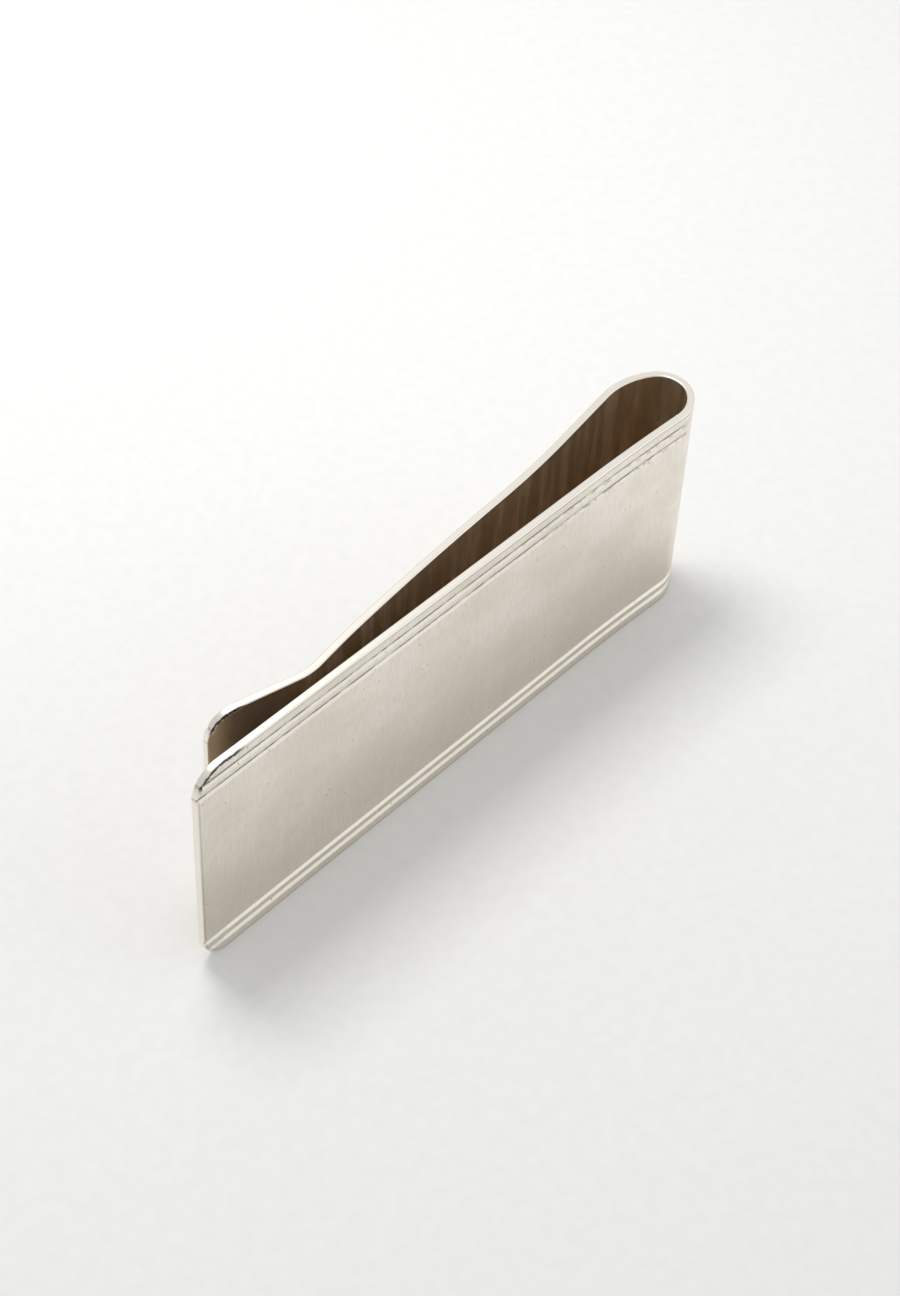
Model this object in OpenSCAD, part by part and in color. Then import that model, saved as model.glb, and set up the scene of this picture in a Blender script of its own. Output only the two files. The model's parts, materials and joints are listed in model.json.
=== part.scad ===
// Money clip: one strip of sheet metal bent into a front leaf, a sprung loop and a sprung back arm.
// X runs along the clip towards the loop, Y from the front leaf to the back arm, Z up the strip's width.
// The origin is at the middle of the clip's footprint, on the surface that its long edge stands on.

/* [Strip] */
// Width of the strip, and so the clip's height when it stands on its long edge
strip_width = 20; // [16:0.5:26]
// Thickness of the strip
strip_thickness = 0.6; // [0.5:0.05:0.75]
// Rounding along the strip's long edges
arris_radius = 0.12; // [0.05:0.01:0.2]
// Rounding of the four corners at the strip's two ends
corner_radius = 2.4; // [1:0.1:4]

/* [Front leaf] */
// Length of the flat part of the front leaf
front_length = 40; // [33:0.5:48]
// Radius of the slow curve that brings the front leaf forward before the loop
heel_radius = 200; // [120:5:300]
// How far that slow curve turns
heel_turn = 2.9; // [2:0.1:4]

/* [Loop] */
// Inner radius where the strip leaves the front leaf
entry_radius = 2.85; // [2.4:0.05:3.5]
// How far the strip turns there
entry_turn = 59.4; // [50:0.2:62]
// Inner radius of the tight end of the loop
crown_radius = 2; // [1.6:0.1:2.5]
// How far the strip turns round the tight end
crown_turn = 89.8; // [88:0.2:100]
// Inner radius where the strip goes over into the back arm
exit_radius = 5.75; // [4.8:0.05:6.9]
// How far the strip turns there
exit_turn = 42.5; // [41:0.2:44]

/* [Back arm] */
// Length of the straight root of the arm after the loop
root_length = 6.1; // [5:0.1:7.5]
// Radius of the hollow that flattens the upper arm
hollow_radius = 86; // [70:2:105]
// How far the hollow turns the arm back
hollow_turn = 5.4; // [4.5:0.1:6.6]
// Radius of the slow curve of the middle arm
middle_radius = 320; // [260:10:390]
// How far that curve turns
middle_turn = 2.8; // [2.3:0.1:3.4]
// Radius of the curve that leads down to the pinch
lower_radius = 90; // [75:5:110]
// How far that curve turns
lower_turn = 3.2; // [2.6:0.1:3.9]

/* [Pinch and lip] */
// Radius of the bend that grips the notes, on the face that grips
pinch_radius = 5.7; // [4.5:0.1:7]
// How far that bend turns the strip away from the front leaf
pinch_turn = 22.8; // [19:0.2:28]
// Length of the straight lip that guides the notes in
lip_length = 7.3; // [5.5:0.1:9]

/* [Grooves] */
// How many grooves run along each long edge
groove_count = 2; // [1:1:3]
// Distance from the long edge to the middle of the first groove
groove_inset = 1.15; // [0.8:0.05:1.6]
// Distance between neighbouring grooves
groove_pitch = 1; // [0.7:0.05:1.4]
// Width of a groove at the surface
groove_width = 0.6; // [0.3:0.05:0.65]
// Depth of a groove
groove_depth = 0.15; // [0.05:0.01:0.18]

/* [Flexing] */
// Play between two neighbouring zones of the strip that flex against each other
flex_play = 0.02; // [0.02:0.005:0.04]

/* [Hidden] */
$fn = 128;
// How far a cutting shape reaches past what it cuts.
OVERRUN = 1;

// The zones of the strip in order from the front tip, each [turn, radius of the inner face or length].
// A positive turn has the inner face inside the bend, and a zone with no turn is straight.
ZONES = [
    [0, front_length],
    [-heel_turn, heel_radius],
    [entry_turn, entry_radius],
    [crown_turn, crown_radius],
    [exit_turn, exit_radius],
    [0, root_length],
    [-hollow_turn, hollow_radius],
    [middle_turn, middle_radius],
    [lower_turn, lower_radius],
    [-pinch_turn, pinch_radius],
    [0, lip_length],
];
LOOP_ENTRY = 2;
LOOP_CROWN = 3;
LOOP_EXIT = 4;
LIP_END = len(ZONES);

// Centre of a bend that starts at a place, which is [x, y, heading] on the inner face.
function bend_centre(place, zone) =
    [place.x - sign(zone[0]) * zone[1] * sin(place.z), place.y + sign(zone[0]) * zone[1] * cos(place.z)];

// The place where a zone ends.
function place_after(place, zone) =
    let (heading = place.z + zone[0], reach = sign(zone[0]) * zone[1], centre = bend_centre(place, zone))
    zone[0] == 0
        ? [place.x + zone[1] * cos(heading), place.y + zone[1] * sin(heading), heading]
        : [centre.x + reach * sin(heading), centre.y - reach * cos(heading), heading];

// The place where a zone starts, if the outer face of the front leaf's tip is at [0, 0].
function place_of(index) =
    index == 0 ? [0, strip_thickness, 0] : place_after(place_of(index - 1), ZONES[index - 1]);
PLACES = [for (index = [0:LIP_END]) place_of(index)];

// The footprint ends where the loop's outer face is furthest forward, back and along, and at the strip's free end
// that reaches furthest the other way.
TIP_X = min(0, PLACES[LIP_END].x);
FRONT_Y = bend_centre(PLACES[LOOP_ENTRY], ZONES[LOOP_ENTRY]).y - entry_radius - strip_thickness;
BACK_Y = bend_centre(PLACES[LOOP_EXIT], ZONES[LOOP_EXIT]).y + exit_radius + strip_thickness;
LOOP_X = bend_centre(PLACES[LOOP_CROWN], ZONES[LOOP_CROWN]).x + crown_radius + strip_thickness;

// The waste outside a square corner's rounding, with the corner at the origin.
module corner_waste(radius) {
    difference() {
        translate([-OVERRUN, -OVERRUN])
            square(OVERRUN + radius);
        translate([radius, radius])
            circle(radius);
    }
}

// A groove in a face at x = 0 of a body that lies towards +X.
module groove_waste() {
    half_width = groove_width / 2 * (1 + OVERRUN / groove_depth);
    polygon([[groove_depth, 0], [-OVERRUN, half_width], [-OVERRUN, -half_width]]);
}

// What is cut from one long edge of the section.
module edge_waste() {
    corner_waste(arris_radius);
    translate([strip_thickness, 0])
        mirror([1, 0])
            corner_waste(arris_radius);
    for (index = [0:groove_count - 1])
        translate([0, groove_inset + index * groove_pitch])
            groove_waste();
}

// Section of the strip, with its outer face at x = 0 and its inner face towards +X.
module section() {
    difference() {
        square([strip_thickness, strip_width]);
        edge_waste();
        translate([0, strip_width])
            mirror([0, 1])
                edge_waste();
    }
}

// Puts children that start at the origin, heading along +X with the inner face at y = 0, on the strip.
module at_place(index) {
    translate([PLACES[index].x, PLACES[index].y, 0])
        rotate([0, 0, PLACES[index].z])
            children();
}

module straight(length) {
    rotate([90, 0, 90])
        linear_extrude(length)
            translate([-strip_thickness, 0])
                section();
}

// A bend with the inner face on its inside.
module inward_bend(turn, radius) {
    translate([0, radius, 0])
        rotate([0, 0, -90])
            rotate_extrude(angle = turn)
                translate([radius + strip_thickness, 0])
                    mirror([1, 0])
                        section();
}

// A bend with the inner face on its outside.
module outward_bend(turn, radius) {
    translate([0, -radius, 0])
        rotate([0, 0, 90 - turn])
            rotate_extrude(angle = turn)
                translate([radius - strip_thickness, 0])
                    section();
}

// A slab across the strip, which leaves half of the play on each side of a place.
module play_cut(index) {
    at_place(index)
        translate([-flex_play / 2, -strip_thickness - OVERRUN, -OVERRUN])
            cube([flex_play, strip_thickness + 2 * OVERRUN, strip_width + 2 * OVERRUN]);
}

// The waste at both corners of an end of the strip, where the strip lies towards +X.
module tip_waste() {
    for (edge = [0, 1])
        translate([0, OVERRUN, edge * strip_width])
            mirror([0, 0, edge])
                rotate([90, 0, 0])
                    linear_extrude(strip_thickness + 2 * OVERRUN)
                        corner_waste(corner_radius);
}

// One zone of the strip, with play at the given places. Children are cut away from it.
module zone(index, flexes = []) {
    turn = ZONES[index][0];
    translate([-(TIP_X + LOOP_X) / 2, -(FRONT_Y + BACK_Y) / 2, 0])
        difference() {
            at_place(index)
                if (turn == 0)
                    straight(ZONES[index][1]);
                else if (turn > 0)
                    inward_bend(turn, ZONES[index][1]);
                else
                    outward_bend(-turn, ZONES[index][1]);
            for (place = flexes)
                play_cut(place);
            children();
        }
}

module front_leaf() {
    color("silver")
        zone(0, [1])
            at_place(0)
                tip_waste();
}

module front_heel() {
    color("silver")
        zone(1, [1, 2]);
}

module loop_entry() {
    color("silver")
        zone(LOOP_ENTRY, [2, 3]);
}

module loop_crown() {
    color("silver")
        zone(LOOP_CROWN, [3, 4]);
}

module loop_exit() {
    color("silver")
        zone(LOOP_EXIT, [4, 5]);
}

module arm_root() {
    color("silver")
        zone(5, [5, 6]);
}

module arm_upper() {
    color("silver")
        zone(6, [6, 7]);
}

module arm_middle() {
    color("silver")
        zone(7, [7, 8]);
}

module arm_lower() {
    color("silver")
        zone(8, [8]);
}

module pinch_bend() {
    color("silver")
        zone(9);
}

module lip() {
    color("silver")
        zone(10)
            at_place(LIP_END)
                rotate([0, 0, 180])
                    translate([0, strip_thickness, 0])
                        tip_waste();
}

front_leaf();
front_heel();
loop_entry();
loop_crown();
loop_exit();
arm_root();
arm_upper();
arm_middle();
arm_lower();
pinch_bend();
lip();
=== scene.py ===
"""Looks of the money clip: one bent strip of worn satin silver on a pale floor.

The strip is one continuous surface, made from the same bends as the part's source. It is divided in the
middle of its flexing zones into pieces that each span one joint of the frame.
"""
import json
import math

import bpy
import numpy as np
from mathutils import Matrix, Vector, noise

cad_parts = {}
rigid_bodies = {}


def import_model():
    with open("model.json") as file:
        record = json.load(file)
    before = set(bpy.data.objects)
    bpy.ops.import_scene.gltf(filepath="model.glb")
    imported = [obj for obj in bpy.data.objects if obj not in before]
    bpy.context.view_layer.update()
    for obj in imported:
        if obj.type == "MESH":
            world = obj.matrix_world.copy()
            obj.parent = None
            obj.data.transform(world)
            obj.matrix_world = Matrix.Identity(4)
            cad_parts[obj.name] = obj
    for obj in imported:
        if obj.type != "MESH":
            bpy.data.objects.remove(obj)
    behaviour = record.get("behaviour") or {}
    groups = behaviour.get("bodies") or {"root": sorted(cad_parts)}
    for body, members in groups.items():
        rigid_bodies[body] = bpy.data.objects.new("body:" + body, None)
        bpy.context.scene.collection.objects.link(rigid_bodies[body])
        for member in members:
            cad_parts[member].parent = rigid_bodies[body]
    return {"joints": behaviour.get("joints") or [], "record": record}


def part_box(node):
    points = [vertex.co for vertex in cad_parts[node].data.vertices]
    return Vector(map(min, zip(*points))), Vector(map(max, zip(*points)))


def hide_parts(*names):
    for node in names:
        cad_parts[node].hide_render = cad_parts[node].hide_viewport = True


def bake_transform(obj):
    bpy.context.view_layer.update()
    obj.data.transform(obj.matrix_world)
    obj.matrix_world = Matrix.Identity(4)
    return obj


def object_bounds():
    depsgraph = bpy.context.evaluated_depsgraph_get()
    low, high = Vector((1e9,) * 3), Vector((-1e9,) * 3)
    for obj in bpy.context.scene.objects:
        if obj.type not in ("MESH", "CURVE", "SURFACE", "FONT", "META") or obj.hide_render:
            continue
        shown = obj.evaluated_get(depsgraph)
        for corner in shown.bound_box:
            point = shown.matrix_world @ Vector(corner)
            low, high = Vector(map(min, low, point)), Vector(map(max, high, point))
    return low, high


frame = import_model()
cad_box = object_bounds()

MM = 0.001

# The strip, in millimetres and degrees as in the part's source.
WIDTH = 20.0
THICKNESS = 0.6
ARRIS = 0.12
CORNER = 2.4
GROOVE_INSET = 1.15
GROOVE_PITCH = 1.0
GROOVE_COUNT = 2
GROOVE_WIDTH = 0.6
GROOVE_DEPTH = 0.15
GROOVE_MIDDLES = tuple(GROOVE_INSET + groove * GROOVE_PITCH for groove in range(GROOVE_COUNT))

# Zones of the strip from the front tip to the lip: (node, turn, radius of the inner face or length).
ZONES = (
    ("front_leaf", 0, 40),
    ("front_heel", -2.9, 200),
    ("loop_entry", 59.4, 2.85),
    ("loop_crown", 89.8, 2),
    ("loop_exit", 42.5, 5.75),
    ("arm_root", 0, 6.1),
    ("arm_upper", -5.4, 86),
    ("arm_middle", 2.8, 320),
    ("arm_lower", 3.2, 90),
    ("pinch_bend", -22.8, 5.7),
    ("lip", 0, 7.3),
)

# How finely the surface is divided along the strip.
ARRIS_STEPS = 6
TIP_STEP = 0.1
WORN_STEP = 0.16
WORN_REACH = 6.5
LONG_STEP = 0.8
TURN_STEP = 2.5

# How finely it is divided across the strip, in its margins with the grooves and in the middle between them.
CREASE = 0.008
FLANK_SHARES = (0.12, 0.36, 0.64, 0.88)
PLAIN_START = 0.2
PLAIN_STEP = 0.1
PLAIN_CLEARANCE = 0.05
MARGIN_PAST_CORNER = 0.15
MIDDLE_COLUMNS = 19

# The upper arrises, worn near the two free ends, and the limits of the worn zone with how softly they fade.
FRONT_WORN_REACH = 4.6
LIP_WORN_REACH = 3.2
WORN_END_FADE = 0.8
WORN_SIDE, WORN_SIDE_FADE = 0.38, 0.12
WORN_INSET, WORN_INSET_FADE = 0.62, 0.1

# The dents in them: a ragged line at WEAR_MIDDLE from the outline.
WEAR_DEPTH = 0.07
WEAR_MIDDLE = 0.14
WEAR_WIDTH = 0.13
WEAR_GRAIN = 0.6
WEAR_WANDER = 0.1
WEAR_SHARE, WEAR_SHARE_CHANGE = 0.7, 1.4
WEAR_SHARE_GRAIN = 1.7
WEAR_SHARE_SHIFT = Vector((0.3, 5.2, 8.1))

# How far in from the outline the material still tells an edge, and how far from the lip's end it tells the end.
EDGE_REACH = 0.6
END_REACH = 12

# Where the inner face's material starts, in from the outline, and how softly.
INNER_START, INNER_FADE = ARRIS * 0.3, 0.15

# Grime and painted shade sit a little above the middle of each groove, on the flank that faces down.
DIRT_AND_SHADE_SHIFT = 0.05

# From here on along the strip the upper grooves are smudged as well, fully so after the fade.
SMUDGE_START = 24.0
SMUDGE_FADE = 16

# The painted dark line along the outline, in from it: painted shade standing in for a dark reflection in the arris.
PAINTED_EDGE_SHADE_INSET = 0.2

# Colours of the outer face, of what lies on it with its painted highlights and painted shade, and of the tarnished
# inner face with painted shade at the pinch.
TONES = {
    "light": (0.895, 0.845, 0.775),
    "dull": (0.82, 0.768, 0.685),
    "clouded": (0.78, 0.715, 0.625),
    "brushed": (0.72, 0.665, 0.59),
    "filed": (0.74, 0.68, 0.60),
    "painted_low_shade": (0.73, 0.67, 0.555),
    "painted_groove_highlight": (0.965, 0.92, 0.85),
    "dirt_and_shade": (0.17, 0.145, 0.12),
    "smudge": (0.36, 0.32, 0.28),
    "rim": (0.93, 0.885, 0.80),
    "painted_edge_shade": (0.45, 0.415, 0.375),
    "pit": (0.25, 0.21, 0.18),
    "black": (0.06, 0.052, 0.055),
    "brown": (0.70, 0.56, 0.40),
    "pale_brown": (0.98, 0.84, 0.68),
    "pinch": (0.48, 0.41, 0.335),
    "lip": (0.90, 0.83, 0.69),
    "front_tip": (0.84, 0.775, 0.665),
    "fleck": (0.62, 0.56, 0.47),
}

# The least and most roughness of the plain metal. Below about 0.275 the denoised picture comes out speckled.
ROUGHNESS = (0.295, 0.33)

# Half the side of the floor, in metres.
FLOOR_REACH = 6.0

# The room: its plain strength, and for each brighter side its direction, the share of the way towards it at
# which it starts and is full, and its strength.
ROOM_COLOUR = (0.99, 0.995, 1.0, 1)
ROOM_STRENGTH = 0.66
LOW_FRONT = ((0.66, -0.75, 0.0), (0.55, 0.97), 1.35)
HIGH_BACK = ((0.52, 0.44, 0.73), (0.80, 0.96), 0.84)

# The window: its place and target from the clip's centre, size, power and colour.
WINDOW_PLACE = Vector((0.006, 0.078, 0.195))
WINDOW_TARGET = Vector((0.1, 0.09, 0))
WINDOW_SIZE = 0.085
WINDOW_POWER = 0.262
WINDOW_COLOUR = (1.0, 0.985, 0.965)

# The camera: its angles in degrees, its distance from its target, and its target from the clip's centre.
AZIMUTH, ELEVATION, ROLL = 49.762, 47.137, 3.224
CAMERA_DISTANCE = 0.193
CAMERA_TARGET = Vector((0.0006, -0.0007, 0.0002))
SENSOR_WIDTH = 36
FOCAL_LENGTH = 72.77


# ---------------------------------------------------------------- the strip's surface

def start_place():
    """Where the inner face of the front leaf starts, as [x, y, heading]."""
    low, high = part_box("front_leaf")
    return [low.x / MM, high.y / MM, 0.0]


def bend_centre(place, turn, size):
    """Centre of a bend that starts at a place."""
    reach = math.copysign(size, turn)
    return [place[0] - reach * math.sin(place[2]), place[1] + reach * math.cos(place[2])]


def place_along(place, turn, size, share):
    """The place on the inner face at a share of a zone."""
    if turn == 0:
        run = size * share
        return [place[0] + run * math.cos(place[2]), place[1] + run * math.sin(place[2]), place[2]]
    centre = bend_centre(place, turn, size)
    heading = place[2] + math.radians(turn * share)
    reach = math.copysign(size, turn)
    return [centre[0] + reach * math.sin(heading), centre[1] - reach * math.cos(heading), heading]


def zone_length(turn, size):
    """Length of a zone along the middle of the strip's thickness."""
    if turn == 0:
        return size
    return math.radians(abs(turn)) * (size + math.copysign(THICKNESS / 2, turn))


def arris_steps():
    """Distances from the outline across a rounded arris."""
    return [ARRIS * (1 - math.cos(math.pi / 2 * k / ARRIS_STEPS)) for k in range(ARRIS_STEPS + 1)]


def end_steps(length):
    """Distances from a free end to the far side of a straight zone: fine at the end, then coarser."""
    tip = list(np.arange(ARRIS + TIP_STEP, CORNER, TIP_STEP)) + [CORNER]
    worn = list(np.arange(CORNER + WORN_STEP, min(WORN_REACH, length - LONG_STEP / 2), WORN_STEP))
    rest = np.linspace(worn[-1], length, max(2, round((length - worn[-1]) / LONG_STEP) + 1))[1:]
    return arris_steps() + tip + worn + list(rest)


def zone_shares(index):
    """Shares of a zone at which the surface has a row, with one in the middle of each zone but the ends."""
    _, turn, size = ZONES[index]
    if index == 0:
        return [step / size for step in end_steps(size)]
    if index == len(ZONES) - 1:
        return [1 - step / size for step in reversed(end_steps(size))]
    half = max(1, math.ceil(max(zone_length(turn, size) / LONG_STEP, abs(turn) / TURN_STEP) / 2))
    return [k / (2 * half) for k in range(2 * half + 1)]


def make_rows():
    """Rows along the strip as (x, y, heading, distance), and for each zone the rows of its start, middle, end."""
    rows, marks = [], []
    place, along = start_place(), 0.0
    for index, (_, turn, size) in enumerate(ZONES):
        shares = zone_shares(index)
        first = max(0, len(rows) - 1)
        for share in shares[(1 if rows else 0):]:
            rows.append([*place_along(place, turn, size, share), along + share * zone_length(turn, size)])
        marks.append((first, (first + len(rows) - 1) // 2, len(rows) - 1))
        place = place_along(place, turn, size, 1)
        along += zone_length(turn, size)
    return np.array(rows), marks


def make_columns():
    """Heights across the strip at which the surface has a column."""
    half = GROOVE_WIDTH / 2
    creases = [off + side * CREASE for side in (-1, 1) for off in (0, half)]
    flanks = [half * share for share in FLANK_SHARES]
    lines = sorted({middle + side * off for middle in GROOVE_MIDDLES for off in creases + flanks for side in (-1, 1)})
    plain = [height for height in np.arange(PLAIN_START, CORNER + PLAIN_STEP / 2, PLAIN_STEP)
             if min(abs(height - middle) for middle in GROOVE_MIDDLES) > half + PLAIN_CLEARANCE]
    margin = sorted(arris_steps() + lines + plain + [CORNER + MARGIN_PAST_CORNER])
    middle = list(np.linspace(margin[-1], WIDTH - margin[-1], MIDDLE_COLUMNS + 2))[1:-1]
    return np.array(margin + middle + [WIDTH - height for height in reversed(margin)])


def round_corners(end, height):
    """Moves points near a free end's corners onto the rounded outline, ring by ring.

    end is the distance from the end and height the height across the strip. Returns both as moved, the
    distance in from the outline, and the direction out of it as (along, across) parts.
    """
    low = np.minimum(height, WIDTH - height)
    u, v = (CORNER - end) / CORNER, (CORNER - low) / CORNER
    corner = (u > 0) & (v > 0)
    ring = np.maximum(u, v)
    angle = np.where(u >= v, v / np.maximum(u, 1e-9), 2 - u / np.maximum(v, 1e-9)) * math.pi / 4
    side = np.where(height > WIDTH / 2, 1.0, -1.0)
    new_end = np.where(corner, CORNER * (1 - ring * np.cos(angle)), end)
    new_low = np.where(corner, CORNER * (1 - ring * np.sin(angle)), low)
    new_height = np.where(side > 0, WIDTH - new_low, new_low)
    inset = np.where(corner, CORNER * (1 - ring), np.minimum(end, low))
    near_end = end < low
    out_end = np.where(corner, np.cos(angle), np.where(near_end, 1.0, 0.0))
    out_side = np.where(corner, np.sin(angle), np.where(near_end, 0.0, 1.0)) * side
    return new_end, new_height, inset, out_end, out_side


def groove_profile(height):
    """Depth of the grooves at a height, as a share of their full depth."""
    low = np.minimum(height, WIDTH - height)
    depth = np.zeros_like(low)
    for groove in range(GROOVE_COUNT):
        off = np.abs(low - GROOVE_INSET - groove * GROOVE_PITCH)
        depth = np.maximum(depth, 1 - off / (GROOVE_WIDTH / 2))
    return np.clip(depth, 0, 1)


def worn_zone(distance, inset, out_side, reach):
    """Where an upper arris is worn near a free end, from 0 to 1 with soft limits."""
    near = np.clip((reach - distance) / WORN_END_FADE, 0, 1)
    upper = np.clip((out_side - WORN_SIDE) / WORN_SIDE_FADE, 0, 1)
    return near * upper * np.clip((WORN_INSET - inset) / WORN_INSET_FADE, 0, 1)


def dents(distance, inset, zone):
    """How deep small dents lie in a worn arris, as a ragged line along it, from 0 to 1."""
    depth = np.zeros_like(distance)
    for i, j in zip(*np.nonzero(zone * (inset > 0.01))):
        spot = Vector((distance[i, j], 0, 0)) / WEAR_GRAIN
        off = inset[i, j] - WEAR_MIDDLE - WEAR_WANDER * noise.noise(spot)
        change = WEAR_SHARE_CHANGE * noise.noise(spot * WEAR_SHARE_GRAIN + WEAR_SHARE_SHIFT)
        deep = min(1.0, max(0.0, WEAR_SHARE + change))
        depth[i, j] = max(0.0, 1 - abs(off) / WEAR_WIDTH) * deep * zone[i, j]
    return depth


def make_surface():
    """The whole strip as grids of points and normals for its outer and inner faces, with what materials read."""
    rows, marks = make_rows()
    columns = make_columns()
    shape = (len(rows), len(columns))
    along = np.repeat(rows[:, 3:4], shape[1], axis=1)
    height = np.repeat(columns[None, :], shape[0], axis=0)
    total = rows[-1, 3]
    from_front = along < total / 2
    end, height, inset, out_end, out_side = round_corners(np.where(from_front, along, total - along), height)
    moved = np.where(from_front, end, total - end) - along
    out_along = np.where(from_front, -out_end, out_end)
    x, y, heading = (np.repeat(rows[:, k:k + 1], shape[1], axis=1) for k in range(3))
    x, y = x + moved * np.cos(heading), y + moved * np.sin(heading)
    along = along + moved
    rim = inset < 1e-6
    out = np.stack([out_along * np.cos(heading), out_along * np.sin(heading), out_side], -1)

    fillet_in = np.clip(ARRIS - inset, 0, ARRIS)
    fillet = ARRIS - np.sqrt(ARRIS ** 2 - fillet_in ** 2)
    groove = groove_profile(height)
    front_worn = worn_zone(along, inset, out_side, FRONT_WORN_REACH)
    lip_worn = worn_zone(total - along, inset, out_side, LIP_WORN_REACH)
    front_dents = WEAR_DEPTH * dents(along, inset, front_worn)
    lip_dents = WEAR_DEPTH * dents(total - along, inset, lip_worn)
    outer_offset = THICKNESS - fillet - GROOVE_DEPTH * groove - front_dents
    inner_offset = fillet + lip_dents
    inner_face = np.clip((inset - INNER_START) / INNER_FADE, 0, 1)

    faces = {}
    for name, turned, offset, groove_share, inner_share, worn in (
        ("outer", 1, outer_offset, groove, np.zeros(shape), front_worn),
        ("inner", -1, inner_offset, np.zeros(shape), inner_face, lip_worn),
    ):
        points = np.stack([x + offset * np.sin(heading), y - offset * np.cos(heading), height], -1)
        normals = turned * np.cross(np.gradient(points, axis=0), np.gradient(points, axis=1))
        normals = np.where(rim[..., None], out, normals)
        normals /= np.linalg.norm(normals, axis=-1, keepdims=True)
        faces[name] = {
            "points": points, "normals": normals,
            "place": np.stack([along, height, offset], -1),
            "end": np.clip(1 - (total - along) / END_REACH, 0, 1),
            "edge": np.clip(1 - inset / EDGE_REACH, 0, 1),
            "groove": groove_share, "inner": inner_share, "worn": worn,
        }
    return faces, rows, marks


# ---------------------------------------------------------------- meshes

def quads(a, b, c, d):
    """Four-sided faces from four grids of point numbers."""
    return np.stack([a, b, c, d], -1).reshape(-1, 4)


def piece_mesh(name, faces, rows, first, last):
    """A closed piece of the strip from one row to another, with the whole strip's normals."""
    sides = [{key: value[first:last + 1] for key, value in faces[side].items()} for side in ("outer", "inner")]

    def both(key, *shape):
        return np.concatenate([side[key].reshape(-1, *shape) for side in sides])

    n, m = sides[0]["points"].shape[:2]
    front = np.arange(n * m).reshape(n, m)
    back = front + n * m
    outside = quads(front[:-1, :-1], front[1:, :-1], front[1:, 1:], front[:-1, 1:])
    inside = quads(back[:-1, :-1], back[:-1, 1:], back[1:, 1:], back[1:, :-1])
    bottom = quads(front[:-1, 0], back[:-1, 0], back[1:, 0], front[1:, 0])
    top = quads(front[:-1, -1], front[1:, -1], back[1:, -1], back[:-1, -1])
    start = quads(front[0, :-1], front[0, 1:], back[0, 1:], back[0, :-1])
    stop = quads(front[-1, :-1], back[-1, :-1], back[-1, 1:], front[-1, 1:])
    all_quads = np.concatenate([outside, inside, bottom, top, start, stop])
    mesh = bpy.data.meshes.new(name)
    mesh.from_pydata((both("points", 3) * MM).tolist(), [], all_quads.tolist())
    mesh.polygons.foreach_set("use_smooth", [True] * len(all_quads))

    # Where two pieces meet, their end faces are flat.
    corners = both("normals", 3)[all_quads.ravel()].reshape(-1, 4, 3)
    stop_first = len(all_quads) - len(stop)
    start_first = stop_first - len(start)
    if first > 0:
        corners[start_first:stop_first] = -heading_vector(rows[first])
    if last < len(rows) - 1:
        corners[stop_first:] = heading_vector(rows[last])
    mesh.normals_split_custom_set(corners.reshape(-1, 3).tolist())

    place = mesh.attributes.new("strip_place", "FLOAT_VECTOR", "POINT")
    place.data.foreach_set("vector", both("place", 3).ravel())
    for key in ("groove", "edge", "inner", "worn", "end"):
        mesh.attributes.new("strip_" + key, "FLOAT", "POINT").data.foreach_set("value", both(key))
    return mesh


def heading_vector(row):
    """Direction along the strip at a row."""
    return np.array([math.cos(row[2]), math.sin(row[2]), 0.0])


# ---------------------------------------------------------------- materials

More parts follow.
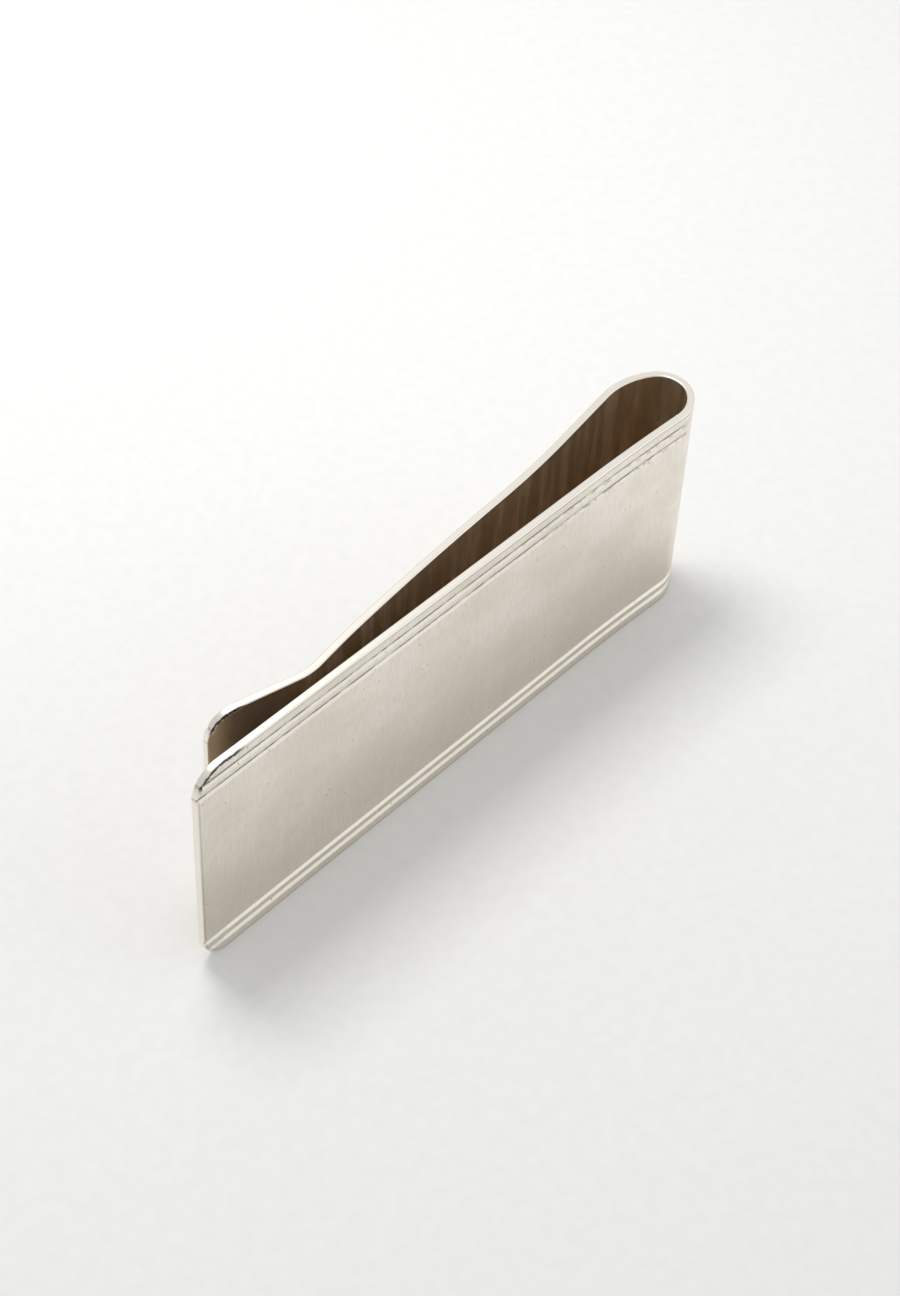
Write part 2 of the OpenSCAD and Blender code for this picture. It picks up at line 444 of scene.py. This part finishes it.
class Nodes:
    """A material, with small helpers to write its node tree line by line."""

    def __init__(self, name):
        self.material = bpy.data.materials.new(name)
        self.material.use_nodes = True
        self.tree = self.material.node_tree
        self.tree.nodes.clear()

    def put(self, kind, **settings):
        """A new shader node with some of its properties set."""
        node = self.tree.nodes.new("ShaderNode" + kind)
        for key, value in settings.items():
            setattr(node, key, value)
        return node

    def feed(self, socket, value):
        """Links another node's output to a socket, or sets the socket's own value."""
        if hasattr(value, "is_output"):
            self.tree.links.new(value, socket)
        else:
            socket.default_value = value

    def attribute(self, name, vector=False):
        """What the mesh says at a point under a name."""
        node = self.put("Attribute", attribute_name=name)
        return node.outputs["Vector" if vector else "Fac"]

    def math(self, operation, *values):
        """A sum, product or other operation on one to three values."""
        node = self.put("Math", operation=operation)
        for socket, value in zip(node.inputs, values):
            self.feed(socket, value)
        return node.outputs[0]

    def times(self, a, b):
        """Product of two values."""
        return self.math("MULTIPLY", a, b)

    def minus(self, a, b):
        """Difference of two values."""
        return self.math("SUBTRACT", a, b)

    def away(self, a, b):
        """How far two values are apart."""
        return self.math("ABSOLUTE", self.minus(a, b))

    def stretch(self, vector, scale, shift):
        """Coordinates scaled along each axis, then shifted."""
        node = self.put("Mapping")
        self.feed(node.inputs["Vector"], vector)
        node.inputs["Scale"].default_value = scale
        node.inputs["Location"].default_value = shift
        return node.outputs[0]

    def noise(self, vector, scale, detail, roughness):
        """Soft noise from 0 to 1."""
        node = self.put("TexNoise")
        self.feed(node.inputs["Vector"], vector)
        node.inputs["Scale"].default_value = scale
        node.inputs["Detail"].default_value = detail
        node.inputs["Roughness"].default_value = roughness
        return node.outputs["Fac"]

    def spots(self, vector):
        """Distance to the nearest of many scattered points."""
        node = self.put("TexVoronoi", feature="F1")
        self.feed(node.inputs["Vector"], vector)
        node.inputs["Scale"].default_value = 1.0
        return node.outputs["Distance"]

    def ramp(self, value, low, high, to_low=0.0, to_high=1.0):
        """Smooth step from to_low at low to to_high at high."""
        node = self.put("MapRange", interpolation_type="SMOOTHSTEP")
        for socket, number in zip(node.inputs, (value, low, high, to_low, to_high)):
            self.feed(socket, number)
        return node.outputs[0]

    def blend(self, factor, a, b):
        """Colour a where the factor is 0 and b where it is 1."""
        node = self.put("Mix", data_type="RGBA")
        self.feed(node.inputs[0], factor)
        self.feed(node.inputs[6], a)
        self.feed(node.inputs[7], b)
        return node.outputs[2]

    def bump(self, height, strength, distance, normal=None):
        """Normal of a surface with small heights, on top of another normal."""
        node = self.put("Bump")
        self.feed(node.inputs["Height"], height)
        node.inputs["Strength"].default_value = strength
        node.inputs["Distance"].default_value = distance
        if normal is not None:
            self.feed(node.inputs["Normal"], normal)
        return node.outputs[0]

    def finish(self, shader):
        """Links the shader to the material's surface, and gives the material."""
        output = self.put("OutputMaterial")
        self.feed(output.inputs["Surface"], shader.outputs[0])
        return self.material


class Silver(Nodes):
    """Worn satin silver: an unsoiled outer face with painted highlights and painted shade, thin lines of grime and
    painted shade in the grooves, brown tarnish on the inner face.

    Patterns lie on the strip by distance along it, height across it and offset through it, in millimetres.
    """

    def __init__(self):
        super().__init__("worn_silver")
        self.place = self.attribute("strip_place", vector=True)
        self.groove = self.attribute("strip_groove")
        self.edge = self.attribute("strip_edge")
        self.inner = self.attribute("strip_inner")
        self.worn = self.attribute("strip_worn")
        self.end = self.attribute("strip_end")
        split = self.put("SeparateXYZ")
        self.feed(split.inputs[0], self.place)
        self.along, self.height = split.outputs["X"], split.outputs["Y"]
        self.inset = self.math("MULTIPLY_ADD", self.edge, -EDGE_REACH, EDGE_REACH)
        self.rim = self.ramp(self.edge, 0.8, 0.97)
        self.flat = self.minus(1.0, self.ramp(self.edge, 0.5, 0.85))

        self.cloud = self.pattern((0.13, 0.2, 0.0), roughness=0.5)
        self.upright = self.pattern((1.5, 0.14, 0.0))
        self.brushed = self.pattern((4.5, 0.9, 0.0), (7, 1, 0))
        self.pit = self.pits()
        self.black = self.black_line()

    def pattern(self, scale, shift=(0, 0, 0), detail=3.0, roughness=0.6):
        """Noise on the strip, as fine along each axis as scale says."""
        return self.noise(self.stretch(self.place, scale, shift), 1.0, detail, roughness)

    def scattered(self, scale, shift=(0, 0, 0)):
        """Distance to the nearest of many points scattered on the strip."""
        return self.spots(self.stretch(self.place, scale, shift))

    def tint(self, colour, factor, name):
        """A colour turned towards a named tone."""
        return self.blend(factor, colour, (*TONES[name], 1))

    def two_tones(self, factor, name, other):
        """A named tone where the factor is 0 and another where it is 1."""
        return self.blend(factor, (*TONES[name], 1), (*TONES[other], 1))

    def pits(self):
        """Small pits, in some places of the flat metal only."""
        spots = self.scattered((1.7, 0.9, 0.0))
        chosen = self.pattern((0.42, 0.4, 0.0), (11, 5, 2), 2.0, 0.5)
        pit = self.times(self.ramp(spots, 0.04, 0.12, 1.0, 0.0), self.ramp(chosen, 0.46, 0.58))
        return self.times(pit, self.flat)

    def black_line(self):
        """The ragged black line in the worn arrises."""
        wander = self.pattern((1.4, 1.4, 0.0), (1, 4, 0))
        middle = self.math("MULTIPLY_ADD", wander, 0.36, WEAR_MIDDLE - 0.18)
        ragged = self.pattern((4.0, 4.0, 0.0), (8, 2, 0), roughness=0.7)
        off = self.away(self.inset, middle)
        near = self.minus(self.math("MULTIPLY_ADD", ragged, 0.6, -0.15), off)
        black = self.times(self.ramp(near, 0.0, 0.05), self.worn)
        return self.times(black, self.ramp(self.inset, 0.01, 0.05))

    def groove_dirt_and_shade(self):
        """A thin, broken line of grime and painted shade in each groove: strong in the upper ones and faint in the
        lower ones.
        """
        line = 1.0
        for low in GROOVE_MIDDLES:
            for middle in (low, WIDTH - low):
                line = self.math("MINIMUM", line, self.away(self.height, middle + DIRT_AND_SHADE_SHIFT))
        dirt_and_shade = self.times(self.ramp(line, 0.06, 0.17, 1.0, 0.0), self.ramp(self.height, 4.0, 16.0, 0.1, 1.0))
        dashes = self.pattern((0.55, 3.0, 0.0), (2, 0, 0), roughness=0.7)
        return self.times(dirt_and_shade, self.ramp(dashes, 0.38, 0.58, 0.3, 1.0))

    def groove_smudge(self):
        """Blots in the upper grooves towards the loop."""
        blots = self.pattern((1.3, 3.2, 0.0), (6, 6, 0), roughness=0.7)
        smudge = self.times(self.ramp(self.groove, 0.0, 0.5), self.ramp(blots, 0.46, 0.62, 0.0, 0.55))
        smudge = self.times(smudge, self.ramp(self.along, SMUDGE_START, SMUDGE_START + SMUDGE_FADE))
        return self.times(smudge, self.ramp(self.height, 10.0, 17.0))

    def outer_colour(self):
        """Clouded and brushed silver, with painted highlights low in the grooves, grime and painted shade high in
        them, painted highlights on the rims, a painted dark line along the outline, painted shade low on the face,
        and pits.
        """
        tone = self.two_tones(self.ramp(self.cloud, 0.35, 0.65), "light", "dull")
        tone = self.tint(tone, self.times(self.ramp(self.upright, 0.42, 0.72, 0.0, 0.28), self.flat), "clouded")
        tone = self.tint(tone, self.times(self.ramp(self.brushed, 0.4, 0.75, 0.0, 0.5), self.flat), "brushed")
        filed = self.pattern((0.8, 0.0, 8.0), (2, 3, 1))
        tone = self.tint(tone, self.times(self.ramp(filed, 0.4, 0.7, 0.0, 0.3), self.rim), "filed")
        # Painted shade: the face darker and browner towards the bottom, in patches, standing in for the reflected
        # shadow in front of the clip.
        low_part, patches = self.ramp(self.height, 4.0, 13.0, 0.45, 0.0), self.ramp(self.upright, 0.25, 0.6, 0.5, 1.0)
        tone = self.tint(tone, self.times(low_part, patches), "painted_low_shade")
        # Painted highlight: the grooves lighter, most of all low on the face.
        grooves, lower = self.ramp(self.groove, 0.02, 0.2), self.ramp(self.height, 4.0, 16.0, 0.75, 0.25)
        tone = self.tint(tone, self.times(grooves, lower), "painted_groove_highlight")
        # Grime and painted shade in the grooves.
        tone = self.tint(tone, self.groove_dirt_and_shade(), "dirt_and_shade")
        tone = self.tint(tone, self.groove_smudge(), "smudge")
        # Painted highlight: the arrises lighter.
        tone = self.tint(tone, self.ramp(self.edge, 0.86, 0.98, 0.0, 0.6), "rim")
        # Painted shade: a dark line just in from the outline.
        painted_edge_shade = self.away(self.inset, PAINTED_EDGE_SHADE_INSET)
        tone = self.tint(tone, self.ramp(painted_edge_shade, 0.02, 0.12, 0.5, 0.0), "painted_edge_shade")
        return self.tint(tone, self.times(self.pit, 0.7), "pit")

    def inner_colour(self):
        """Brown tarnish in upright streaks, darker at the pinch as painted shade, and lighter at both free ends."""
        streaks = self.pattern((0.5, 0.05, 0.0), (5, 1, 0), 4.0, 0.65)
        tone = self.two_tones(self.ramp(streaks, 0.44, 0.62), "brown", "pale_brown")
        # Painted shade: darker near the pinch.
        tone = self.tint(tone, self.ramp(self.end, 0.3, 0.62), "pinch")
        tone = self.tint(tone, self.ramp(self.end, 0.8, 0.97), "lip")
        tone = self.tint(tone, self.ramp(self.along, 1.0, 8.0, 0.85, 0.0), "front_tip")
        flecks = self.scattered((0.9, 1.3, 0.0), (4, 4, 0))
        fleck = self.times(self.ramp(flecks, 0.04, 0.1, 1.0, 0.0), self.ramp(self.cloud, 0.5, 0.6))
        return self.tint(tone, self.times(fleck, 0.6), "fleck")

    def roughness(self):
        """Satin metal, rougher where it is brushed, tarnished, grooved or black."""
        rough = self.ramp(self.cloud, 0.3, 0.7, *ROUGHNESS)
        for more in (
            self.times(self.ramp(self.brushed, 0.35, 0.75, 0.0, 0.07), self.flat),
            self.times(self.groove, 0.05),
            self.times(self.inner, 0.06),
            self.times(self.black, 0.2),
        ):
            rough = self.math("ADD", rough, more)
        return self.minus(rough, self.times(self.edge, 0.01))

    def normal(self):
        """Slow waves, then grain, brushing and scratches on the flat metal, then pits and the black line."""
        grain = self.pattern((5.5, 4.0, 0.0), detail=2.0)
        lengthways = self.pattern((0.3, 4.5, 0.0))
        crossways = self.pattern((6.5, 0.5, 0.0), (3, 7, 0))
        scratches = self.math("ADD", self.ramp(lengthways, 0.55, 0.75, 0.0, 0.5), self.ramp(crossways, 0.55, 0.75))
        normal = self.bump(self.pattern((0.5, 0.16, 0.0), (0, 9, 0), 2.0, 0.5), 0.35, 0.00006)
        for marks, strength in ((grain, 0.12), (self.brushed, 0.2), (scratches, 0.12)):
            normal = self.bump(self.times(marks, self.flat), strength, 0.00001, normal)
        hollows = self.math("ADD", self.pit, self.black)
        return self.bump(self.minus(1.0, hollows), 0.5, 0.00003, normal)

    def build(self):
        """The finished material."""
        colour = self.blend(self.inner, self.outer_colour(), self.inner_colour())
        shader = self.put("BsdfPrincipled")
        shader.inputs["Metallic"].default_value = 1.0
        self.feed(shader.inputs["Base Color"], self.tint(colour, self.times(self.black, 0.93), "black"))
        self.feed(shader.inputs["Roughness"], self.roughness())
        self.feed(shader.inputs["Normal"], self.normal())
        return self.finish(shader)


def floor_paper():
    """Pale matt board with hardly any grain."""
    nodes = Nodes("pale_board")
    grain = nodes.noise(nodes.put("TexCoord").outputs["Object"], 900.0, 2.0, 0.5)
    shade = nodes.blend(nodes.ramp(grain, 0.3, 0.7), (0.80, 0.80, 0.79, 1), (0.82, 0.82, 0.81, 1))
    shader = nodes.put("BsdfPrincipled")
    shader.inputs["Roughness"].default_value = 0.7
    shader.inputs["Specular IOR Level"].default_value = 0.2
    nodes.feed(shader.inputs["Base Color"], shade)
    return nodes.finish(shader)


# ---------------------------------------------------------------- the strip's pieces

def build_strip(material):
    """Makes a piece for each joint, from the middle of the zone before it to the middle of the zone after it.

    The first piece starts at the front tip, and the last one ends at the end of the lip.
    """
    faces, rows, marks = make_surface()
    order = [zone[0] for zone in ZONES]
    joints = frame["joints"]
    bodies = frame["record"]["behaviour"]["bodies"]
    for count, joint in enumerate(joints):
        before = order.index(bodies[joint["parent"]][-1])
        after = order.index(bodies[joint["child"]][0])
        first = 0 if count == 0 else marks[before][1]
        last = len(rows) - 1 if count == len(joints) - 1 else marks[after][1]
        name = joint["name"].replace("flex", "strip")
        piece = bpy.data.objects.new(name, piece_mesh(name, faces, rows, first, last))
        bpy.context.scene.collection.objects.link(piece)
        piece.data.materials.append(material)
        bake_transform(piece)
        nodes = list(bodies[joint["child"]]) + (list(bodies[joint["parent"]]) if count == 0 else [])
        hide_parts(*nodes)


# ---------------------------------------------------------------- floor, lights, camera

def build_floor(material):
    """A big pale board under the clip."""
    far = FLOOR_REACH
    mesh = bpy.data.meshes.new("floor")
    mesh.from_pydata([(-far, -far, 0), (far, -far, 0), (far, far, 0), (-far, far, 0)], [], [(0, 1, 2, 3)])
    floor = bpy.data.objects.new("floor", mesh)
    bpy.context.scene.collection.objects.link(floor)
    mesh.materials.append(material)


def bright_side(tree, direction, towards, spread, strength):
    """Strength of a room that is brighter towards one side."""
    side = tree.nodes.new("ShaderNodeVectorMath")
    side.operation = "DOT_PRODUCT"
    side.inputs[1].default_value = towards
    ramp = tree.nodes.new("ShaderNodeMapRange")
    ramp.interpolation_type = "SMOOTHSTEP"
    for socket, number in zip(list(ramp.inputs)[1:5], (*spread, ROOM_STRENGTH, strength)):
        socket.default_value = number
    tree.links.new(direction, side.inputs[0])
    tree.links.new(side.outputs["Value"], ramp.inputs["Value"])
    return ramp.outputs["Result"]


def build_room():
    """A bright white room, brighter low in front and high behind."""
    world = bpy.data.worlds.new("room")
    world.use_nodes = True
    tree = world.node_tree
    background = tree.nodes["Background"]
    background.inputs["Color"].default_value = ROOM_COLOUR
    direction = tree.nodes.new("ShaderNodeTexCoord").outputs["Generated"]
    brighter = tree.nodes.new("ShaderNodeMath")
    brighter.operation = "MAXIMUM"
    for socket, side in zip(brighter.inputs, (LOW_FRONT, HIGH_BACK)):
        tree.links.new(bright_side(tree, direction, *side), socket)
    tree.links.new(brighter.outputs[0], background.inputs["Strength"])
    bpy.context.scene.world = world


def build_window(centre):
    """A soft square light from behind and above."""
    data = bpy.data.lights.new("window", "AREA")
    data.shape = "SQUARE"
    data.size = WINDOW_SIZE
    data.energy = WINDOW_POWER
    data.color = WINDOW_COLOUR
    lamp = bpy.data.objects.new("window", data)
    bpy.context.scene.collection.objects.link(lamp)
    lamp.location = centre + WINDOW_PLACE
    lamp.rotation_mode = "QUATERNION"
    lamp.rotation_quaternion = ((centre + WINDOW_TARGET) - (centre + WINDOW_PLACE)).to_track_quat("-Z", "Y")


def build_camera(centre):
    """The camera at the photograph's angle, a hand's breadth or two from the clip."""
    azimuth, elevation, roll = math.radians(AZIMUTH), math.radians(ELEVATION), math.radians(ROLL)
    level = Vector((math.cos(azimuth), -math.sin(azimuth), 0))
    rise = Vector((math.sin(azimuth) * math.sin(elevation), math.cos(azimuth) * math.sin(elevation),
                   math.cos(elevation)))
    right = level * math.cos(roll) + rise * math.sin(roll)
    up = rise * math.cos(roll) - level * math.sin(roll)
    back = right.cross(up)
    data = bpy.data.cameras.new("camera")
    data.sensor_width = SENSOR_WIDTH
    data.lens = FOCAL_LENGTH
    data.clip_start, data.clip_end = 0.01, 20
    camera = bpy.data.objects.new("camera", data)
    bpy.context.scene.collection.objects.link(camera)
    turn = Matrix((right, up, back)).transposed()
    target = centre + CAMERA_TARGET
    camera.matrix_world = Matrix.Translation(target + back * CAMERA_DISTANCE) @ turn.to_4x4()
    bpy.context.scene.camera = camera


centre = (cad_box[0] + cad_box[1]) / 2
build_strip(Silver().build())
build_floor(floor_paper())
build_room()
build_window(centre)
build_camera(centre)
bpy.context.scene.view_settings.view_transform = "Standard"
